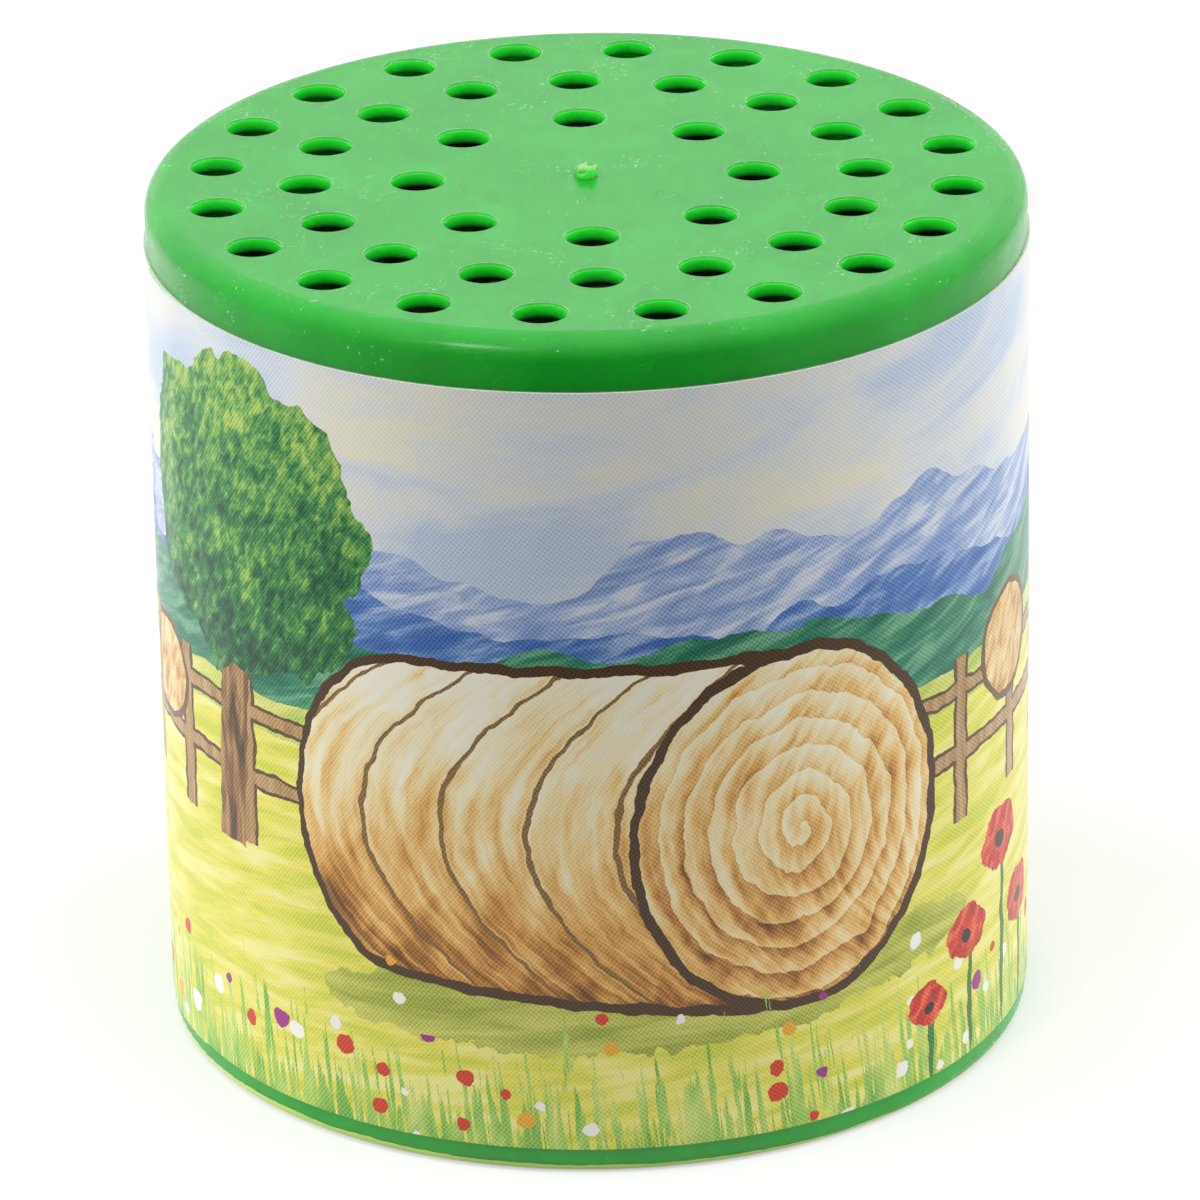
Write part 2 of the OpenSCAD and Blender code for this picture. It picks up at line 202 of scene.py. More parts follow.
def swayed(art, amount, size):
    """The picture's points pushed about by a brush that wanders this far over this size."""
    wander = add(art.tree, "TexNoise", {"Vector": art.page, "Scale": 1 / size, "Detail": 3.0}, out="Color")
    centred = add(art.tree, "VectorMath", {0: wander, 1: (0.5, 0.5, 0.5)}, operation="SUBTRACT")
    reach = (2 * amount, 2 * amount, 0)
    return add(art.tree, "VectorMath", {0: centred, 1: reach, 2: art.spot}, operation="MULTIPLY_ADD")


def strokes(art, length, width, tilt=0, seed=0):
    """Brush strokes of this length and width, as light and dark from 0 to 1."""
    laid = add(art.tree, "Mapping", {
        "Vector": art.page, "Location": (seed, seed, 0), "Rotation": (0, 0, math.radians(tilt)),
        "Scale": (length, width, 1),
    }, vector_type="TEXTURE")
    return add(art.tree, "TexNoise", {
        "Vector": laid, "Scale": 1.0, "Detail": 4.0, "Roughness": 0.6, "Distortion": 0.4,
    })


def painted(art, colours, length, width, tilt=0, seed=0):
    """Paint of these colours, in strokes from the first colour to the last."""
    low, high = 0.37, 0.63
    step = (high - low) / (len(colours) - 1)
    stops = [(low + i * step, c) for i, c in enumerate(colours)]
    return add(art.tree, "ValToRGB", {"Fac": strokes(art, length, width, tilt, seed)}, stops=stops)


def dab(art, points, centre, size, tilt=0):
    """How far each point is from an oval's middle, with 1 at its edge, and where in the oval it lies."""
    laid = add(art.tree, "Mapping", {
        "Vector": points, "Location": (*centre, 0), "Rotation": (0, 0, math.radians(tilt)),
        "Scale": (*size, 1),
    }, vector_type="TEXTURE")
    return add(art.tree, "VectorMath", {0: laid}, operation="LENGTH"), laid


def art_plan(tree):
    """The print laid out in millimetres along the paper, from the middle of its front, and up it."""
    where = add(tree, "TexCoord", out="Object")
    turned_back = math.radians(180 - SEAM)
    facing = add(tree, "VectorRotate", {"Vector": where, "Angle": turned_back}, rotation_type="Z_AXIS")
    x, y, z = add(tree, "SeparateXYZ", {"Vector": facing}, out=None)
    angle = add(tree, "Math", {0: y, 1: x}, operation="ARCTAN2")
    front = LABEL_R * math.radians(SEAM - 90)
    art = SimpleNamespace(tree=tree)
    art.along = add(tree, "Math", {0: angle, 1: LABEL_R, 2: front}, operation="MULTIPLY_ADD")
    art.up = add(tree, "Math", {0: z, 1: 1 / MM, 2: -LABEL_BOTTOM}, operation="MULTIPLY_ADD")
    art.page = add(tree, "CombineXYZ", {"X": art.along, "Y": art.up})
    # The motifs come twice round the can
    half = LABEL_ROUND / 2
    twice = add(tree, "Math", {0: art.along, 1: half / 2, 2: -half / 2}, operation="WRAP")
    art.spot = add(tree, "CombineXYZ", {"X": twice, "Y": art.up})
    art.brushed = swayed(art, 0.5, 2.2)
    art.bu, art.bv, _ = add(tree, "SeparateXYZ", {"Vector": art.brushed}, out=None)
    return art


def hills_and_meadow(art):
    """Hills from the far ridge to the near slope, and a sunlit meadow in broad level strokes."""
    # Height, swing, length of a roll, seed and colours of each
    ranges = [
        (46, 15, 17, 0, ("#86A0D2", "#A8BCE0", "#DCE2F0")),
        (41, 10, 14, 40, ("#416CB2", "#6088C4", "#A4BCE0")),
        (39, 12, 22, 90, ("#1C6A54", "#3A8A68", "#74B088")),
        (32, 4, 30, 150, ("#B7CF5A", "#D5DE70", "#EAE990")),
    ]
    layers = []
    for height, swing, roll, seed, colours in ranges:
        walk = add(art.tree, "Math", {0: art.along, 1: seed}, operation="ADD")
        line = add(art.tree, "TexNoise", {
            "W": walk, "Scale": 1 / roll, "Detail": 2.0,
        }, noise_dimensions="1D")
        crest = add(art.tree, "Math", {0: line, 1: swing, 2: height - swing / 2}, operation="MULTIPLY_ADD")
        below = add(art.tree, "Math", {0: crest, 1: art.bv}, operation="GREATER_THAN")
        layers.append((below, painted(art, colours, 6, 1.3, 18, seed)))
    lawn = add(art.tree, "Math", {0: art.bv, 1: 29}, operation="LESS_THAN")
    layers.append((lawn, painted(art, ("#D6DC4C", "#F0E868", "#FAF49C"), 9, 1.5, 7, 11)))
    return layers


def rail_fence(art):
    """Posts with two rails, each drawn as a dark outline and then its wood."""
    tree = art.tree
    layers = []
    apart = 8.6
    step = add(tree, "Math", {0: art.bu, 1: apart, 2: 0.0}, operation="WRAP")
    tall = add(tree, "Math", {0: art.bv, 1: 26, 2: 6.5}, operation="COMPARE")
    for reach, wood in ((0.95, ink("#5B4327")), (0.6, painted(art, ("#CBA877", "#A9834F"), 1, 6, 0, 7))):
        upright = add(tree, "Math", {0: step, 1: apart / 2, 2: reach}, operation="COMPARE")
        post = add(tree, "Math", {0: upright, 1: tall}, operation="MULTIPLY")
        upper = add(tree, "Math", {0: art.bv, 1: 30, 2: reach * 0.8}, operation="COMPARE")
        lower = add(tree, "Math", {0: art.bv, 1: 25, 2: reach * 0.8}, operation="COMPARE")
        rails = add(tree, "Math", {0: upper, 1: lower}, operation="MAXIMUM")
        layers.append((add(tree, "Math", {0: post, 1: rails}, operation="MAXIMUM"), wood))
    return layers


def round_tree(art):
    """A tree on the left with a leaning trunk, and leaves that are lighter towards the top."""
    tree = art.tree
    lean = add(tree, "Math", {0: art.bv, 1: 0.08, 2: -34}, operation="MULTIPLY_ADD")
    off = add(tree, "Math", {0: art.bu, 1: lean}, operation="SUBTRACT")
    thick = add(tree, "Math", {0: off, 1: 0, 2: 1.7}, operation="COMPARE")
    tall = add(tree, "Math", {0: art.bv, 1: 28, 2: 9}, operation="COMPARE")
    trunk = add(tree, "Math", {0: thick, 1: tall}, operation="MULTIPLY")
    crown_reach, crown_place = dab(art, swayed(art, 3.4, 5.0), (-31, 45), (12.5, 12.5))
    crown = add(tree, "Math", {0: crown_reach, 1: 1.0}, operation="LESS_THAN")
    clump = strokes(art, 4.2, 3.4, 30, 41)
    leaf = strokes(art, 1.3, 0.7, 62, 13)
    lit = add(tree, "SeparateXYZ", {"Vector": crown_place}, out="Y")
    tone = add(tree, "Math", {0: leaf, 1: 1.5, 2: clump}, operation="MULTIPLY_ADD")
    light = add(tree, "Math", {0: lit, 1: 0.2, 2: tone}, operation="MULTIPLY_ADD")
    even = add(tree, "Math", {0: light, 1: 0.72}, operation="SUBTRACT")
    leaves = add(tree, "ValToRGB", {"Fac": even}, stops=[
        (0.1, "#143E2A"), (0.9, "#B4D06A"), (0.32, "#22603A"), (0.52, "#3F8848"), (0.7, "#78B054"),
    ])
    return [(trunk, painted(art, ("#4A3220", "#8A623A", "#C09763"), 0.9, 7, 0, 3)), (crown, leaves)]


def small_bales(art):
    """Two bales in the distance, and the shade on the grass under the great one."""
    layers = []
    for centre, size in (((-43, 29), 4.2), ((38, 31), 4.6)):
        reach, _ = dab(art, art.brushed, centre, (size, size * 0.92))
        outline = add(art.tree, "Math", {0: reach, 1: 1.08}, operation="LESS_THAN")
        layers.append((outline, ink("#6B4A26")))
        end = add(art.tree, "Math", {0: reach, 1: 0.95}, operation="LESS_THAN")
        layers.append((end, painted(art, ("#C98F46", "#E7C27C", "#F6E3B0"), 2.4, 1, 60, 5)))
    reach, _ = dab(art, swayed(art, 1.6, 1.8), (4, 11.5), (27, 3.6), 2)
    shade = add(art.tree, "Math", {0: reach, 1: 1.0}, operation="LESS_THAN")
    layers.append((shade, painted(art, ("#A4AE44", "#C0C658", "#D6D66E"), 8, 1.6, 3, 21)))
    return layers


def great_bale(art):
    """A round bale: a barrel that runs to the left from its face, where the straw is rolled up in a coil."""
    tree = art.tree
    layers = []
    # Middle and half size of the far end and of the face, and where the barrel meets the face
    far, far_size = (-15, 25.5), (9.5, 12.5)
    near, near_size = (14, 24), (12.5, 14)
    meeting = 13
    outline_ink = ink("#4B3216")
    run = {"Value": art.bu, "From Min": far[0], "From Max": meeting}
    middle = add(tree, "MapRange", {**run, "To Min": far[1], "To Max": near[1]})
    height = add(tree, "MapRange", {**run, "To Min": far_size[1], "To Max": near_size[1]})
    rise = add(tree, "Math", {0: art.bv, 1: middle}, operation="SUBTRACT")
    around = add(tree, "Math", {0: rise, 1: height}, operation="DIVIDE")
    level = add(tree, "Math", {0: around}, operation="ABSOLUTE")
    far_reach, _ = dab(art, art.brushed, far, far_size)
    halfway = (far[0] + meeting) / 2
    length = add(tree, "Math", {0: art.bu, 1: halfway, 2: meeting - halfway}, operation="COMPARE")
    within = add(tree, "Math", {0: level, 1: 1.0}, operation="LESS_THAN")
    side = add(tree, "Math", {0: within, 1: length}, operation="MULTIPLY")
    far_end = add(tree, "Math", {0: far_reach, 1: 1.0}, operation="LESS_THAN")
    barrel = add(tree, "Math", {0: side, 1: far_end}, operation="MAXIMUM")

    bulge = add(tree, "Math", {0: around, 1: around}, operation="MULTIPLY")
    wound = add(tree, "Math", {0: bulge, 1: -9.5, 2: art.bu}, operation="MULTIPLY_ADD")
    drawn = add(tree, "Math", {0: art.bv, 1: 0.14}, operation="MULTIPLY")
    wrap = add(tree, "CombineXYZ", {"X": wound, "Y": drawn})
    straw = add(tree, "TexNoise", {"Vector": wrap, "Scale": 1 / 0.9, "Detail": 3.0})
    patch = strokes(art, 9, 5, 70, 33)
    straw_tone = add(tree, "Math", {0: straw, 1: patch}, operation="ADD")
    shift = add(tree, "Math", {0: straw_tone, 1: 0.95, 2: -0.95}, operation="MULTIPLY_ADD")
    glow = add(tree, "Math", {0: around, 1: 0.36, 2: 0.56}, operation="MULTIPLY_ADD")
    tone = add(tree, "Math", {0: glow, 1: shift}, operation="ADD")
    layers.append((barrel, add(tree, "ValToRGB", {"Fac": tone}, stops=[
        (0.0, "#6A401A"), (0.95, "#FFFAE6"), (0.18, "#B67A34"), (0.36, "#E6AE5C"), (0.55, "#F8D690"),
        (0.75, "#FEF0C4"),
    ])))
    turn = add(tree, "Math", {0: wound, 1: 6.4, 2: 0.0}, operation="WRAP")
    line = add(tree, "Math", {0: turn, 1: 0.45}, operation="LESS_THAN")
    layers.append((add(tree, "Math", {0: barrel, 1: line}, operation="MULTIPLY"), ink("#8C6A3C")))
    brim = add(tree, "Math", {0: level, 1: 1.0, 2: 0.03}, operation="COMPARE")
    layers.append((add(tree, "Math", {0: brim, 1: length}, operation="MULTIPLY"), outline_ink))
    bow = add(tree, "Math", {0: far_reach, 1: 1.0, 2: 0.03}, operation="COMPARE")
    left = add(tree, "Math", {0: art.bu, 1: far[0] + 0.5}, operation="LESS_THAN")
    layers.append((add(tree, "Math", {0: bow, 1: left}, operation="MULTIPLY"), outline_ink))

    reach, place = dab(art, art.brushed, near, near_size, -3)
    fx, fy, _ = add(tree, "SeparateXYZ", {"Vector": place}, out=None)
    face_turn = add(tree, "Math", {0: fy, 1: fx}, operation="ARCTAN2")
    coil = add(tree, "Math", {0: face_turn, 1: 1 / (2 * math.pi)}, operation="MULTIPLY")
    ring = add(tree, "Math", {0: reach, 1: 7.0, 2: coil}, operation="MULTIPLY_ADD")
    uneven = add(tree, "Math", {0: patch, 1: 1.1, 2: ring}, operation="MULTIPLY_ADD")
    rolled = add(tree, "Math", {0: uneven}, operation="FRACT")
    rolled_tone = add(tree, "Math", {0: rolled, 1: 0.45, 2: straw_tone}, operation="MULTIPLY_ADD")
    light = add(tree, "Math", {0: fy, 1: 0.22, 2: rolled_tone}, operation="MULTIPLY_ADD")
    even = add(tree, "Math", {0: light, 1: 0.68}, operation="SUBTRACT")
    face = add(tree, "Math", {0: reach, 1: 1.0}, operation="LESS_THAN")
    layers.append((face, add(tree, "ValToRGB", {"Fac": even}, stops=[
        (0.0, "#6F451C"), (1.0, "#FFF8DE"), (0.22, "#C68844"), (0.45, "#F0C070"), (0.7, "#FCE6B0"),
    ])))
    outline = add(tree, "Math", {0: reach, 1: 1.0, 2: 0.03}, operation="COMPARE")
    layers.append((outline, outline_ink))
    return layers


def grass_and_flowers(art):
    """Long grass that thins towards its tips, scattered field flowers, and poppies on the right."""
    tree = art.tree
    layers = []
    limit = add(tree, "Math", {0: art.up, 1: 0.022, 2: 0.44}, operation="MULTIPLY_ADD")
    blade = add(tree, "Math", {0: strokes(art, 0.55, 9, 6, 17), 1: limit}, operation="GREATER_THAN")
    layers.append((blade, painted(art, ("#78B84E", "#AAD264", "#D6E482"), 2.5, 9, 0, 29)))

    # One flower at most to each 3.3 mm of meadow, and fewer higher up
    field = swayed(art, 0.35, 0.9)
    petal, kind, _ = add(tree, "TexVoronoi", {
        "Vector": field, "Scale": 1 / 3.3,
    }, out=None, voronoi_dimensions="2D")
    hue, size, keep = add(tree, "SeparateColor", {"Color": kind}, out=None)
    reach = add(tree, "Math", {0: size, 1: 0.16, 2: 0.1}, operation="MULTIPLY_ADD")
    near = add(tree, "Math", {0: petal, 1: reach}, operation="LESS_THAN")
    sown = add(tree, "MapRange", {
        "Value": art.up, "From Min": 3.0, "From Max": 15.0, "To Min": 0.62, "To Max": 0.0,
    })
    grown = add(tree, "Math", {0: keep, 1: sown}, operation="LESS_THAN")
    bloom = add(tree, "ValToRGB", {"Fac": hue}, stops=[
        (0.0, "#FFFDF4"), (0.5, "#D8432B"), (0.72, "#A2358C"), (0.86, "#F1B23A"),
    ])
    bloom.node.color_ramp.interpolation = "CONSTANT"
    layers.append((add(tree, "Math", {0: near, 1: grown}, operation="MULTIPLY"), bloom))

    petals = swayed(art, 0.9, 1.6)
    for (x, y), size in (((31, 10), 2.6), ((36.5, 15.5), 3.2), ((41, 9), 2.8), ((26, 6), 2.1)):
        parts = [
            (dab(art, art.brushed, (x + 0.4, y / 2), (0.35, y / 2)), ink("#3F7A36")),
            (dab(art, petals, (x, y), (size, size * 0.8)),
             painted(art, ("#A3201A", "#D83A24", "#F0704A"), 1.6, 0.9, 50, x)),
            (dab(art, art.brushed, (x, y - 0.2), (size * 0.28, size * 0.22)), ink("#2B1A1C")),
        ]
        for (away, _), colour in parts:
            layers.append((add(tree, "Math", {0: away, 1: 1.0}, operation="LESS_THAN"), colour))
    return layers


def label_print(tree):
    """The print: a harvest meadow in loose brushwork, painted from the sky forwards."""
    art = art_plan(tree)
    picture = painted(art, ("#C8D6EA", "#E4E8EA", "#F3EFDA"), 24, 8, 8, 2)
    for part in (hills_and_meadow, rail_fence, round_tree, small_bales, great_bale, grass_and_flowers):
        for mask, colour in part(art):
            picture = add(tree, "Mix", {"Factor": mask, "A": picture, "B": colour}, data_type="RGBA")
    return picture, art.page


def screened(tree, picture, page):
    """The picture broken into the dots of three ink screens, of which two lie at one angle."""
    # Real dots stand 0.2 mm apart, and are drawn at 0.28 mm so that they still show in the render
    pitch = 0.28
    screens = []
    for turn in (52, 52, 22):
        laid = add(tree, "Mapping", {
            "Vector": page, "Rotation": (0, 0, math.radians(turn)), "Scale": (pitch, pitch, 1),
        }, vector_type="TEXTURE")
        screens.append(add(tree, "TexVoronoi", {
            "Vector": laid, "Scale": 1.0, "Randomness": 0.0,
        }, voronoi_dimensions="2D"))
    dots = add(tree, "CombineXYZ", dict(enumerate(screens)))
    # A dot shows most in a middle tone, and not at all in bare paper or solid ink. The mean distance
    # from a dot's middle leaves the tone as it is
    mean = 0.38
    strength = 2.6
    bare = add(tree, "VectorMath", {0: (1, 1, 1), 1: picture}, operation="SUBTRACT")
    middle = add(tree, "VectorMath", {0: picture, 1: bare}, operation="MULTIPLY")
    swing = add(tree, "VectorMath", {0: dots, 1: (mean,) * 3}, operation="SUBTRACT")
    ripple = add(tree, "VectorMath", {0: swing, 1: middle}, operation="MULTIPLY")
    return add(tree, "VectorMath", {
        0: ripple, 1: (strength,) * 3, 2: picture,
    }, operation="MULTIPLY_ADD")


def varnished_paper():
    """Offset-printed paper under a clear varnish: bright inks in a dot screen, and a shine at low angles."""
    made, tree = blank("varnished_paper")
    picture, page = label_print(tree)
    fibre = add(tree, "TexNoise", {"Vector": page, "Scale": 1 / 0.6, "Detail": 4.0})
    relief = add(tree, "Bump", {"Strength": 0.2, "Distance": 0.02 * MM, "Height": fibre})
    surface(tree, {
        "Base Color": screened(tree, picture, page), "Roughness": 0.42, "Specular IOR Level": 0.3,
        "Normal": relief, "Coat Weight": 0.4, "Coat Roughness": 0.14,
    })
    return made


def paper_core():
    """The cut edge and back of the paper: matt and white, with fibres 0.3 mm long."""
    made, tree = blank("paper_core")
    where = add(tree, "TexCoord", out="Object")
    fibre = add(tree, "TexNoise", {"Vector": where, "Scale": per_m(0.3), "Detail": 3.0})
    colour = add(tree, "ValToRGB", {"Fac": fibre}, stops=[(0.3, "#DCDAD2"), (0.7, "#F4F3EE")])
    surface(tree, {"Base Color": colour, "Roughness": 0.85})
    return made


# Materials of the inside


def wound_board():
    """Spiral-wound board: matt, dark grey-green and flecked with recycled fibres 0.8 mm long."""
    made, tree = blank("wound_board")
    where = add(tree, "TexCoord", out="Object")
    fleck = add(tree, "TexNoise", {"Vector": where, "Scale": per_m(0.8), "Detail": 6.0, "Roughness": 0.75})
    colour = add(tree, "ValToRGB", {"Fac": fleck}, stops=[
        (0.3, "#2F4A2E"), (0.5, "#3C5A3A"), (0.7, "#4C6A48"),
    ])
    relief = add(tree, "Bump", {"Strength": 0.5, "Distance": 0.05 * MM, "Height": fleck})
    surface(tree, {"Base Color": colour, "Roughness": 0.9, "Normal": relief})
    return made


def pressed_felt():
    """Pressed wool felt: dull grey with tangled fibres half a millimetre across and a soft fuzzy edge."""
    made, tree = blank("pressed_felt")
    where = add(tree, "TexCoord", out="Object")
    tangle = add(tree, "TexNoise", {"Vector": where, "Scale": per_m(0.5), "Detail": 6.0, "Distortion": 2.0})
    colour = add(tree, "ValToRGB", {"Fac": tangle}, stops=[
        (0.3, "#2E2E30"), (0.5, "#4A4A4C"), (0.7, "#6E6C6A"),
    ])
    relief = add(tree, "Bump", {"Strength": 0.8, "Distance": 0.15 * MM, "Height": tangle})
    surface(tree, {
        "Base Color": colour, "Roughness": 0.95, "Normal": relief,
        "Sheen Weight": 0.4, "Sheen Roughness": 0.5,
    })
    return made


def coated_film():
    """Rubber-coated cloth: a thin red-brown skin with a dull gloss, through which its 0.4 mm weave shows."""
    made, tree = blank("coated_film")
    where = add(tree, "TexCoord", out="Object")
    weave = add(tree, "TexVoronoi", {"Vector": where, "Scale": per_m(0.4), "Randomness": 0.4})
    wear = add(tree, "TexNoise", {"Vector": where, "Scale": per_m(4), "Detail": 4.0})
    colour = add(tree, "ValToRGB", {"Fac": wear}, stops=[(0.3, "#6B2E1E"), (0.7, "#8F4630")])
    relief = add(tree, "Bump", {"Strength": 0.4, "Distance": 0.04 * MM, "Height": weave})
    surface(tree, {"Base Color": colour, "Roughness": 0.5, "Normal": relief})
    return made


def soft_rubber(name, dark, pale):
    """Vulcanised rubber: nearly black and dull, with a pale bloom in cloudy patches of 2 mm."""
    made, tree = blank(name)
    where = add(tree, "TexCoord", out="Object")
    bloom = add(tree, "TexNoise", {"Vector": where, "Scale": per_m(2), "Detail": 5.0})
    colour = add(tree, "ValToRGB", {"Fac": bloom}, stops=[(0.35, dark), (0.75, pale)])
    relief = add(tree, "Bump", {"Strength": 0.3, "Distance": 0.02 * MM, "Height": bloom})
    surface(tree, {"Base Color": colour, "Roughness": 0.75, "IOR": 1.52, "Normal": relief})
    return made


def ivory_polystyrene():
    """Moulded polystyrene: warm white, smooth and a little glossy, with slight flow lines of 5 mm."""
    made, tree = blank("ivory_polystyrene")
    where = add(tree, "TexCoord", out="Object")
    flow = add(tree, "TexNoise", {"Vector": where, "Scale": per_m(5), "Detail": 3.0, "Distortion": 1.0})
    colour = add(tree, "ValToRGB", {"Fac": flow}, stops=[(0.3, "#D9D2BC"), (0.7, "#EAE4D2")])
    rough = add(tree, "MapRange", {"Value": flow, "To Min": 0.3, "To Max": 0.45})
    surface(tree, {"Base Color": colour, "Roughness": rough, "IOR": 1.59})
    return made


def cast_iron():
    """Sand-cast iron: dark grey with a pebbled skin of 0.6 mm grains and brown rust in the hollows."""
    made, tree = blank("cast_iron")
    where = add(tree, "TexCoord", out="Object")
    sand = add(tree, "TexNoise", {"Vector": where, "Scale": per_m(0.6), "Detail": 6.0})
    rust = add(tree, "TexNoise", {"Vector": where, "Scale": per_m(6), "Detail": 5.0})
    colour = add(tree, "ValToRGB", {"Fac": rust}, stops=[
        (0.4, "#55565A"), (0.6, "#6A6868"), (0.75, "#6B4A38"),
    ])
    metal = add(tree, "MapRange", {
        "Value": rust, "From Min": 0.55, "From Max": 0.7, "To Min": 0.9, "To Max": 0.3,
    })
    relief = add(tree, "Bump", {"Strength": 0.7, "Distance": 0.15 * MM, "Height": sand})
    surface(tree, {"Base Color": colour, "Metallic": metal, "Roughness": 0.6, "Normal": relief})
    return made


def split_leather():
    """Thin split leather: tan and matt, with a nap of 0.4 mm."""
    made, tree = blank("split_leather")
    where = add(tree, "TexCoord", out="Object")
    nap = add(tree, "TexNoise", {"Vector": where, "Scale": per_m(0.4), "Detail": 5.0})
    colour = add(tree, "ValToRGB", {"Fac": nap}, stops=[(0.3, "#7A5232"), (0.7, "#A87A4C")])
    relief = add(tree, "Bump", {"Strength": 0.6, "Distance": 0.05 * MM, "Height": nap})
    surface(tree, {"Base Color": colour, "Roughness": 0.85, "Normal": relief})
    return made


def rolled_metal(name, bright, dull, rough):
    """Rolled sheet metal: fine lines along the rolling, 0.15 mm apart, and thin tarnish in 3 mm patches."""
    made, tree = blank(name)
    where = add(tree, "TexCoord", out="Object")
    drawn = add(tree, "Mapping", {
        "Vector": where, "Scale": (6 * MM, 0.15 * MM, 6 * MM),
    }, vector_type="TEXTURE")
    lines = add(tree, "TexNoise", {"Vector": drawn, "Scale": 1.0, "Detail": 2.0})
    tarnish = add(tree, "TexNoise", {"Vector": where, "Scale": per_m(3), "Detail": 4.0})
    colour = add(tree, "ValToRGB", {"Fac": tarnish}, stops=[(0.35, bright), (0.75, dull)])
    spread = add(tree, "MapRange", {"Value": lines, "To Min": rough - 0.08, "To Max": rough + 0.12})
    relief = add(tree, "Bump", {"Strength": 0.2, "Distance": 0.01 * MM, "Height": lines})
    surface(tree, {"Base Color": colour, "Metallic": 1.0, "Roughness": spread, "Normal": relief})
    return made


finishes = {
    "lid_plastic": moulded_polypropylene("green_polypropylene_lid", "#1CB02E", "#16A226", "#D2F2C0", 0.16),
    # The base is the lid's plastic in a lighter green, as painted light that makes up for the dimmer light
    # near the floor
    "base_plastic": moulded_polypropylene("green_polypropylene_base_painted_lighter", "#22C232", "#1AB42A", "#C8E89C", 0.1),
    "tube_board": wound_board(),
    "label_paper": varnished_paper(),
    "felt": pressed_felt(),
    "bellows_film": coated_film(),
    "band_rubber": soft_rubber("band_rubber", "#161514", "#3A3834"),
    "carrier_plastic": ivory_polystyrene(),
    "weight_iron": cast_iron(),
    "gasket_leather": split_leather(),
    "reed_brass": rolled_metal("rolled_brass", "#E0B55C", "#B58A3E", 0.32),
    "tongue_bronze": rolled_metal("spring_bronze", "#D99A62", "#A86E42", 0.28),
    "rivet_steel": rolled_metal("plated_steel", "#C9CBCD", "#9A9C9E", 0.3),
    "valve_rubber": soft_rubber("valve_rubber", "#232120", "#4A4744"),
}
for part in frame["record"]["subparts"]:
    solid = frame["nodes"][part["node"]]
    solid.data.materials.clear()
    solid.data.materials.append(finishes[part["material_slot"]])


# Pieces


def piece(name, points, faces, slots, body=None, smooth=True):
    """A mesh object from points in millimetres, with the finishes of these material slots."""
    mesh = bpy.data.meshes.new(name)
    mesh.from_pydata([Vector(p) * MM for p in points], [], faces)
    mesh.update()
    made = bpy.data.objects.new(name, mesh)
    bpy.context.scene.collection.objects.link(made)
    for finish in slots:
        mesh.materials.append(finish)
    for face in mesh.polygons:
        face.use_smooth = smooth
    if body:
        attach(made, body)
    return made


def turned(profile, steps, wobble):
    """Points and faces of a closed profile of (radius, height) turned round the axis.

    wobble moves each point a little."""
    count = len(profile)
    points = []
    faces = []
    for i in range(steps):
        angle = 2 * math.pi * i / steps
        for r, z in profile:
            dr, dz = wobble(angle, r, z)
            points.append(((r + dr) * math.cos(angle), (r + dr) * math.sin(angle), z + dz))
        nxt = (i + 1) % steps
        for k in range(count):
            k2 = (k + 1) % count
            faces.append((i * count + k, nxt * count + k, nxt * count + k2, i * count + k2))
    return points, faces


def drift(angle, reach, seed, times=1.0):
    """A smooth wandering value round the can, within reach either way."""
    return reach * noise.noise(Vector((math.cos(angle) * times, math.sin(angle) * times, seed)))


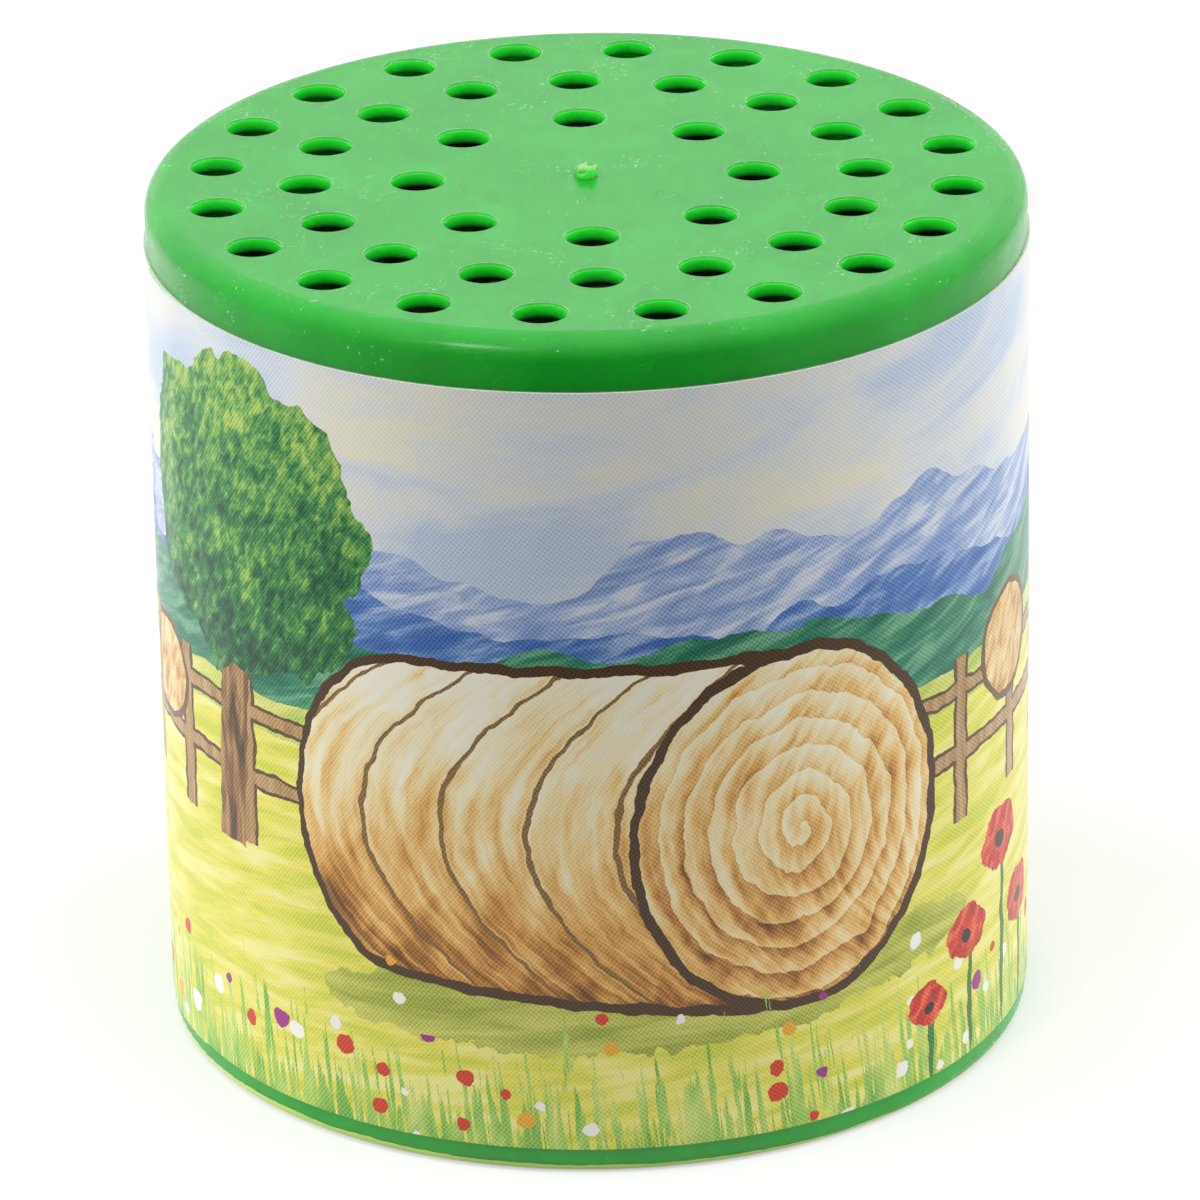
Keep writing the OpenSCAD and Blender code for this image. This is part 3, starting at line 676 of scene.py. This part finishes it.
def label_sheet():
    """The paper: one turn round the tube whose last strip lies over its start, with knife-cut edges."""
    steps = 360
    rows = 10
    lap = math.degrees(LAP_W / LABEL_R)
    # Degrees in which the paper comes down beside its lap, and how much its cut wanders
    settle = 5
    trim = 0.02
    columns = []
    for i in range(steps + 1):
        turn = 360 * i / steps
        angle = math.radians(SEAM + turn)
        over = 1 - min(max((turn - lap) / settle, 0), 1)
        low = LABEL_BOTTOM + trim + drift(angle, trim, 3.1, 6)
        high = LABEL_TOP - trim - drift(angle, trim, 8.7, 6)
        columns.append((angle, LABEL_R + PAPER_T * over, low, high))
    points = []
    for angle, outer, low, high in columns:
        for r in (outer, TUBE_R):
            for k in range(rows + 1):
                z = low + (high - low) * k / rows
                points.append((r * math.cos(angle), r * math.sin(angle), z))
    side = rows + 1
    column = 2 * side
    last = steps * column
    faces = []
    places = []
    # The bake takes the printed face in two strips of half a turn, one 61 mm above the other on a
    # square of 123 mm, and the hidden faces in the room beside them
    strip_rise = 61
    scale = 1 / 123
    beside = 0.86
    room = 0.125
    cut_room = 0.03
    for i in range(steps):
        a = i * column
        b = a + column
        strip = 2 * i // steps
        u0 = (LABEL_ROUND * i / steps - strip * LABEL_ROUND / 2 + 1) * scale
        u1 = u0 + LABEL_ROUND / steps * scale
        s0 = beside + room * i / steps
        s1 = beside + room * (i + 1) / steps
        for k in range(rows):
            v0 = (1 + strip_rise * strip + (LABEL_TOP - LABEL_BOTTOM) * k / rows) * scale
            v1 = v0 + (LABEL_TOP - LABEL_BOTTOM) / rows * scale
            faces.append((a + k, b + k, b + k + 1, a + k + 1))
            places.append(((u0, v0), (u1, v0), (u1, v1), (u0, v1)))
        for k in range(rows):
            v0 = 0.02 + 0.44 * k / rows
            v1 = 0.02 + 0.44 * (k + 1) / rows
            faces.append((b + side + k, a + side + k, a + side + k + 1, b + side + k + 1))
            places.append(((s1, v0), (s0, v0), (s0, v1), (s1, v1)))
        # Where the turn starts, the cut edges also meet the paper that comes round under them
        low_cut = (a + side, b + side, b, a) + (() if i else (last,))
        high_cut = (a + rows, b + rows, b + side + rows, a + side + rows) + (() if i else (last + rows,))
        for v0, corners in ((0.5, low_cut), (0.56, high_cut)):
            v1 = v0 + cut_room
            faces.append(corners)
            places.append(((s0, v0), (s1, v0), (s1, v1), (s0, v1), (s0, v0 + cut_room / 2)))
    for k in range(rows):
        v0 = 0.62 + 0.3 * k / rows
        v1 = 0.62 + 0.3 * (k + 1) / rows
        faces.append((last + k, k, k + 1, last + k + 1))
        places.append(((0.88, v0), (0.9, v0), (0.9, v1), (0.88, v1)))
    made = piece("label_sheet", points, faces, [finishes["label_paper"], paper_core()])
    shape = bmesh.new()
    shape.from_mesh(made.data)
    layer = shape.loops.layers.uv.new("OFBake")
    for face, corners in zip(shape.faces, places):
        for loop, corner in zip(face.loops, corners):
            loop[layer].uv = corner
    shape.faces.ensure_lookup_table()
    per_step = 2 * rows + 2
    for index, face in enumerate(shape.faces):
        printed = index < steps * per_step and index % per_step < rows
        face.material_index = 0 if printed else 1
        face.smooth = printed
    # Where the turn closes, the back of the paper is one skin, and its cut edges stay sharp
    bmesh.ops.remove_doubles(shape, verts=shape.verts, dist=0.001 * MM)
    for edge in shape.edges:
        edge.smooth = all(face.smooth for face in edge.link_faces)
    shape.to_mesh(made.data)
    shape.free()
    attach(made, "housing")
    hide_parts("label")


def bellows_skin():
    """The bellows: a thin coated skin with rounded folds and a hemmed cuff at each end."""
    film = 0.3
    snug_r = CUFF_R + 0.1
    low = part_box("bellows")[0].z / MM
    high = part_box("bellows")[1].z / MM
    fold_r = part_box("bellows")[1].x / MM - film / 2
    valley_r = CUFF_R + FILM_W - film / 2
    first = low + CUFF_H
    half = (high - low - 2 * CUFF_H) / PLEATS / 2
    folds = []
    for i in range(2 * PLEATS + 1):
        z = first + i * half
        outward = i % 2 == 1
        r = fold_r if outward else valley_r
        back = -1 if outward else 1
        for dz, share in ((-0.34, 0.5), (-0.2, 0.14), (0, 0), (0.2, 0.14), (0.34, 0.5)):
            folds.append((r + back * share, z + dz * half))
    hem = 0.2
    gap = 0.05
    outside = [(valley_r - hem, low + gap), (valley_r, low + gap + hem)]
    outside += folds
    outside += [(valley_r, high - gap - hem), (valley_r - hem, high - gap)]
    inside = [(snug_r, high - gap), (snug_r, first + 2 * PLEATS * half)]
    inside += [(r - film, z) for r, z in reversed(folds[5:-5])]
    inside += [(snug_r, first), (snug_r, low + gap)]

    def wobble(angle, r, z):
        """Folds aren't quite round."""
        return (drift(angle, 0.12, z, 2.5) if r > CUFF_R + FILM_W else 0, 0)

    points, faces = turned(outside + inside, 120, wobble)
    made = piece("bellows_skin", points, faces, [finishes["bellows_film"]])
    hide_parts("bellows")
    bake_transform(made)


def felt_ring(name, node):
    """A pressed felt ring with soft corners and a slightly uneven face."""
    low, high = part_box(node)
    # The uneven outline stays inside the solid by this much
    inset = 0.06
    gap = 0.05
    hole = FELT_HOLE_R[node]
    rim = high.x / MM - inset
    bottom = low.z / MM + gap
    top = high.z / MM - gap
    corner = 0.4
    profile = []
    for r, z, start in ((rim, top, 0), (hole, top, 90), (hole, bottom, 180), (rim, bottom, 270)):
        cr = r - corner if r == rim else r + inset + corner
        cz = z - corner if z == top else z + corner
        for k in range(5):
            a = math.radians(start + 22.5 * k)
            profile.append((cr + corner * math.cos(a), cz + corner * math.sin(a)))

    def wobble(angle, r, z):
        """Cut felt has a hairy, uneven outline."""
        return drift(angle, gap, r + z, 9), drift(angle, gap, r - z + 20, 7)

    points, faces = turned(profile, 160, wobble)
    made = piece(name, points, faces, [finishes["felt"]], "housing")
    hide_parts(node)


def gate_tear():
    """The torn plastic left where the moulding was twisted off its sprue, over the plain stub."""
    rings = 9
    steps = 28
    lean_end = 0.25 * GATE_R
    points = []
    for k in range(rings):
        share = k / (rings - 1)
        for i in range(steps):
            angle = 2 * math.pi * i / steps
            lean = lean_end * share
            r = GATE_R * (1.12 - 0.5 * share ** 2) + drift(angle, 0.16, 4 * share, 2.2)
            height = 0.95 * (1 - (1 - share) ** 1.6) - abs(drift(angle, 0.4 * share, 7.7, 1.8))
            points.append((r * math.cos(angle) + lean, r * math.sin(angle), LID_TOP + height))
    points.append((lean_end + 0.05, 0, LID_TOP + 0.85))
    faces = []
    for k in range(rings - 1):
        for i in range(steps):
            j = (i + 1) % steps
            faces.append((k * steps + i, k * steps + j, (k + 1) * steps + j, (k + 1) * steps + i))
    crown = (rings - 1) * steps
    for i in range(steps):
        faces.append((crown + i, crown + (i + 1) % steps, crown + steps))
    faces.append(tuple(reversed(range(steps))))
    torn = moulded_polypropylene("torn_polypropylene", "#B4E08C", "#6CC763", "#D8F0B4", 0.0)
    made = piece("gate_tear", points, faces, [torn], "housing")


def base_flash():
    """The thin flash along the base's lower edge, where the mould's halves met, in a pale colour that is
    painted light from the bright floor below.

    It is widest at the front left."""
    rim_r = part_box("bottom_cap")[1].x / MM
    widest = math.radians(222)
    proud = 0.03
    foot = 0.05
    rows = 5
    steps = 480
    points = []
    for i in range(steps):
        angle = 2 * math.pi * i / steps
        lean = 0.5 + 0.5 * math.cos(angle - widest)
        ragged = drift(angle, 0.12, 5.3, 9) + drift(angle, 0.07, 2.2, 40)
        high = max(0.22, 0.3 + 0.62 * lean ** 2 + ragged)
        section = []
        for k in range(rows):
            z = foot + (high - foot) * k / (rows - 1)
            drop = max(BASE_EDGE_R - z, 0)
            section.append((rim_r - BASE_EDGE_R + math.sqrt(BASE_EDGE_R ** 2 - drop ** 2) + proud, z))
        section[-1] = (section[-1][0] - 2 * proud, high)
        section += [(r - 6 * proud, z) for r, z in (section[-1], section[0])]
        points += [(r * math.cos(angle), r * math.sin(angle), z) for r, z in section]
    count = rows + 2
    faces = []
    for i in range(steps):
        a = i * count
        b = (i + 1) % steps * count
        for k in range(count):
            n = (k + 1) % count
            faces.append((a + k, b + k, b + n, a + n))
    # Its pale yellow-green is painted light, for the floor's light falling on the lower edge
    thin = moulded_polypropylene("flash_polypropylene_painted_light", "#D2EC78", "#BCE060", "#E8F8C0", 0.0, cloudy=0.0)
    made = piece("base_flash", points, faces, [thin], "housing")


label_sheet()
bellows_skin()
felt_ring("top_felt_ring", "top_felt")
felt_ring("base_felt_ring", "base_felt")
gate_tear()
base_flash()


# Stage


def background_share(tree):
    """1 for rays that show the background, straight or in a shine, and 0 for those that carry light."""
    kinds = ("Is Camera Ray", "Is Glossy Ray", "Is Transmission Ray")
    straight, shine, through = [add(tree, "LightPath", out=kind) for kind in kinds]
    either = add(tree, "Math", {0: straight, 1: shine}, operation="MAXIMUM")
    return add(tree, "Math", {0: either, 1: through}, operation="MAXIMUM")


def studio_floor():
    """A pale floor that reads white, with the box's soft shadow on it."""
    made, tree = blank("matt_white_floor")
    pale = add(tree, "BsdfDiffuse", {"Color": ink("#BCBCBC")})
    glow = add(tree, "Math", {0: background_share(tree), 1: 0.5}, operation="MULTIPLY")
    lift = add(tree, "Emission", {"Strength": glow})
    add(tree, "OutputMaterial", {"Surface": add(tree, "AddShader", {0: pale, 1: lift})})
    reach = 2000
    corners = [(-reach, -reach, 0), (reach, -reach, 0), (reach, reach, 0), (-reach, reach, 0)]
    piece("floor", corners, [(0, 1, 2, 3)], [made])


def dark_room():
    """The unlit side of the studio, in front of the can. The camera doesn't see it, and it casts no shadow.

    It fades out sideways and up."""
    radius, low, high = 115, -2, 220
    spread = 120
    made, tree = blank("unlit_room")
    x, y, z = add(tree, "SeparateXYZ", {"Vector": add(tree, "TexCoord", out="Object")}, out=None)
    ahead = add(tree, "Math", {0: y, 1: -1}, operation="MULTIPLY")
    turn = add(tree, "Math", {0: x, 1: ahead}, operation="ARCTAN2")
    aside = add(tree, "Math", {0: turn}, operation="ABSOLUTE")
    round_fade = add(tree, "MapRange", {
        "Value": aside, "From Min": math.radians(15), "From Max": math.radians(140),
        "To Min": 1.0, "To Max": 0.0,
    })
    up_fade = add(tree, "MapRange", {
        "Value": z, "From Min": 45 * MM, "From Max": high * MM, "To Min": 1.0, "To Max": 0.0,
    })
    dark = add(tree, "Math", {0: round_fade, 1: up_fade}, operation="MULTIPLY")
    black = add(tree, "BsdfDiffuse", {"Color": ink("#0C0C0C")})
    clear = add(tree, "BsdfTransparent")
    add(tree, "OutputMaterial", {"Surface": add(tree, "MixShader", {"Fac": dark, 1: clear, 2: black})})
    points = []
    faces = []
    steps = 48
    for i in range(steps + 1):
        angle = math.radians(-90 - spread + 2 * spread * i / steps)
        points += [(radius * math.cos(angle), radius * math.sin(angle), level) for level in (low, high)]
        if i:
            faces.append((2 * i - 2, 2 * i, 2 * i + 1, 2 * i - 1))
    room = piece("dark_room", points, faces, [made])
    room.visible_camera = False
    room.visible_shadow = False


def softbox(name, place, size, radiance, shines=True):
    """A square studio softbox, placed and sized in metres, that faces the middle of the can.

    It can be kept out of reflections."""
    lamp = bpy.data.lights.new(name, "AREA")
    lamp.size = size
    lamp.energy = radiance * math.pi * size ** 2
    holder = bpy.data.objects.new(name, lamp)
    bpy.context.scene.collection.objects.link(holder)
    holder.visible_glossy = shines
    aim = Vector((0, 0, CAN_MIDDLE)) * MM
    holder.location = place
    holder.rotation_euler = (aim - Vector(place)).to_track_quat("-Z", "Y").to_euler()


def studio_light():
    """Soft light from both sides and above, in a white room."""
    world = bpy.data.worlds.new("studio")
    bpy.context.scene.world = world
    world.use_nodes = True
    tree = world.node_tree
    tree.nodes.clear()
    power = add(tree, "MapRange", {"Value": background_share(tree), "To Min": 0.34, "To Max": 1.0})
    white = add(tree, "Background", {"Color": ink("#FFFFFF"), "Strength": power})
    add(tree, "OutputWorld", {"Surface": white})
    softbox("left_box", (-0.62, 0, 0.16), 0.6, 4.3, shines=False)
    softbox("right_box", (0.62, 0, 0.16), 0.6, 3.7, shines=False)
    softbox("top_box", (0, -0.18, 0.78), 0.6, 3.5, shines=False)
    softbox("small_box", (-0.34, -0.503, 0.506), 0.06, 46)


def photo_camera():
    """The camera at the photograph's place and angle of view."""
    lens = bpy.data.cameras.new("photo_camera")
    lens.sensor_width = 36
    lens.lens = 258.1
    lens.clip_start = 0.01
    camera = bpy.data.objects.new("photo_camera", lens)
    bpy.context.scene.collection.objects.link(camera)
    height = math.radians(23.48)
    side = math.radians(-1.93)
    tilt = math.radians(-1.037)
    # How far the camera stands away, and is moved across and down to frame the box, in millimetres
    distance = 642.864
    across = 0.505
    down = 0.511
    away = Vector((math.sin(side) * math.cos(height), -math.cos(side) * math.cos(height), math.sin(height)))
    aim = Vector((0, 0, CAN_MIDDLE)) * MM
    facing = (-away).to_track_quat("-Z", "Y").to_matrix().to_4x4() @ Matrix.Rotation(tilt, 4, "Z")
    right = facing.col[0].xyz
    above = facing.col[1].xyz
    place = aim + away * distance * MM + (right * across - above * down) * MM
    camera.matrix_world = Matrix.Translation(place) @ facing
    bpy.context.scene.camera = camera


studio_floor()
dark_room()
studio_light()
photo_camera()
bpy.context.scene.view_settings.view_transform = "Standard"
